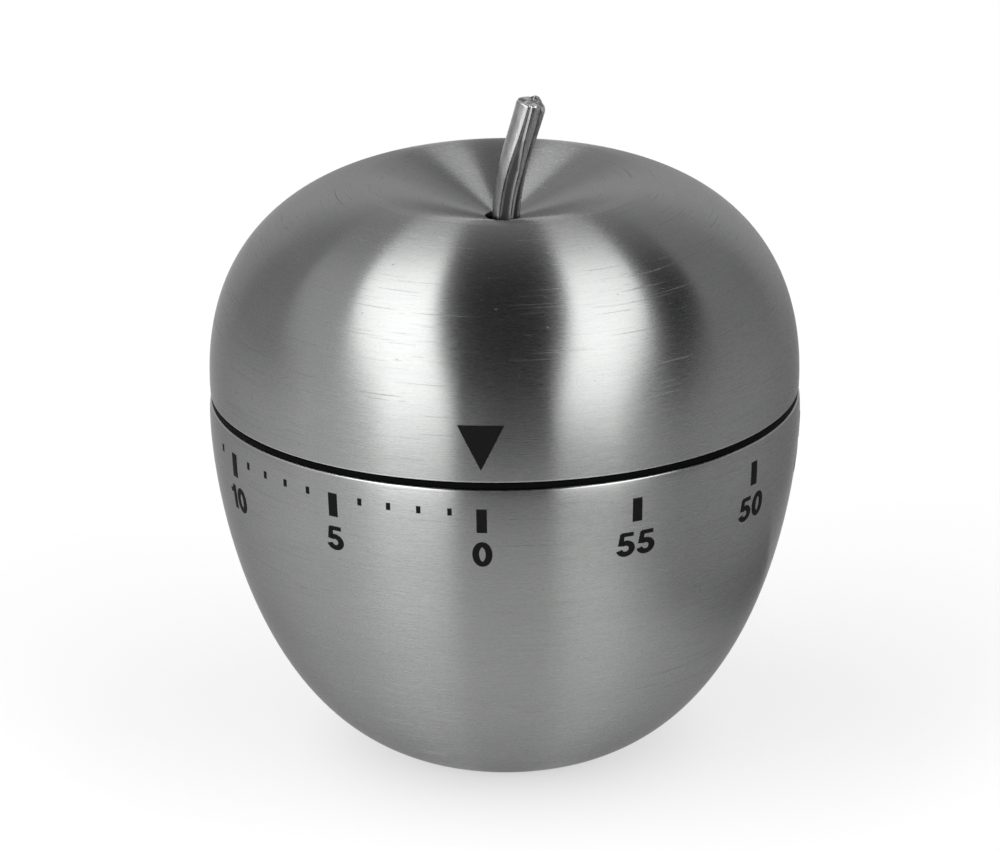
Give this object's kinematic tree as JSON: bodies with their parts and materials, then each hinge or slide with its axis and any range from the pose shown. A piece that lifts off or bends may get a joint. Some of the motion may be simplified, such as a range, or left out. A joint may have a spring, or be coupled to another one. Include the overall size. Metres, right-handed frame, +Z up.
{
  "type": "kitchen timer",
  "caption": "Apple-shaped brushed-steel wind-up kitchen timer: a dial on the body, a turning cap with a pointer, a curved stem, and a geared movement with a bell inside.",
  "frame": {"origin": "centre of the flat base, on the surface that the timer stands on", "axes": "+Z up along the axis of the cap; -Y towards the zero mark of the dial; the stem leans towards +X"},
  "size_m": [0.0602, 0.0602, 0.0688],
  "materials": {
    "brushed_steel_cap": "fine brushing round the axis, satin, with faint scratches",
    "brushed_steel_body": "fine brushing round the axis, satin",
    "stem_steel": "cast and tumbled steel with lengthwise ridges",
    "black_plastic": "moulded, fine grain",
    "plate_steel": "rolled sheet and turned steel, plain",
    "spring_steel": "blued tempered spring steel",
    "screw_steel": "plated screws and nut",
    "brass": "stamped and turned brass",
    "bell_steel": "nickel-plated bell"
  },
  "bodies": {
    "body": {"body_shell": "brushed_steel_body", "movement_cup": "black_plastic", "cup_lid": "black_plastic", "base_plate": "black_plastic", "lower_plate": "plate_steel", "upper_plate": "plate_steel", "pillar_1": "plate_steel", "pillar_2": "plate_steel", "pillar_3": "plate_steel", "spring_post": "plate_steel", "stop_pin": "plate_steel", "bell_post": "plate_steel", "mainspring": "spring_steel", "hammer_spring": "spring_steel", "base_screw_1": "screw_steel", "base_screw_2": "screw_steel", "base_screw_3": "screw_steel", "mounting_screw_1": "screw_steel", "mounting_screw_2": "screw_steel", "mounting_screw_3": "screw_steel", "plate_screw_1": "screw_steel", "plate_screw_2": "screw_steel", "plate_screw_3": "screw_steel", "bell_nut": "screw_steel", "bell": "bell_steel"},
    "cap": {"cap_shell": "brushed_steel_cap", "stem": "stem_steel", "cap_liner": "black_plastic", "winding_arbor": "plate_steel", "stop_disc": "plate_steel", "release_cam": "brass", "great_wheel": "brass", "clutch_washer": "spring_steel"},
    "second": {"second_arbor": "plate_steel", "second_wheel": "brass"},
    "third": {"third_arbor": "plate_steel", "third_wheel": "brass", "strike_wheel": "brass"},
    "escape": {"escape_arbor": "plate_steel", "escape_wheel": "brass"},
    "balance": {"balance_staff": "plate_steel", "balance_wheel": "brass", "pallet_pin_1": "plate_steel", "pallet_pin_2": "plate_steel"},
    "hammer": {"hammer_spindle": "plate_steel", "release_lever": "plate_steel", "strike_lever": "plate_steel", "hammer_arm": "plate_steel", "hammer_head": "brass"}
  },
  "joints": [
    {"name": "cap_turn", "type": "hinge", "parent": "body", "child": "cap", "pos_m": [0, 0, 0.0381], "axis": [0, 0, 1], "range_deg": [-354, 0]},
    {"name": "second_turn", "type": "hinge", "parent": "body", "child": "second", "pos_m": [-0.00909, 0.00525, 0.0241], "axis": [0, 0, 1], "range_deg": [0, 2124]},
    {"name": "third_turn", "type": "hinge", "parent": "body", "child": "third", "pos_m": [-0.01003, -0.0031, 0.0241], "axis": [0, 0, 1], "range_deg": [-12744, 0]},
    {"name": "escape_turn", "type": "hinge", "parent": "body", "child": "escape", "pos_m": [-0.00455, -0.00946, 0.0241], "axis": [0, 0, 1], "range_deg": [0, 76464]},
    {"name": "balance_swing", "type": "hinge", "parent": "body", "child": "balance", "pos_m": [0.00092, -0.01046, 0.0241], "axis": [0, 0, 1], "range_deg": [-8, 8]},
    {"name": "hammer_swing", "type": "hinge", "parent": "body", "child": "hammer", "pos_m": [-0.01474, -0.01032, 0.0241], "axis": [0, 0, 1], "range_deg": [0, 4]}
  ],
  "couplings": [
    {"joint": "second_turn", "follows": "cap_turn", "ratio": -6},
    {"joint": "third_turn", "follows": "cap_turn", "ratio": 36},
    {"joint": "escape_turn", "follows": "cap_turn", "ratio": -216}
  ]
}
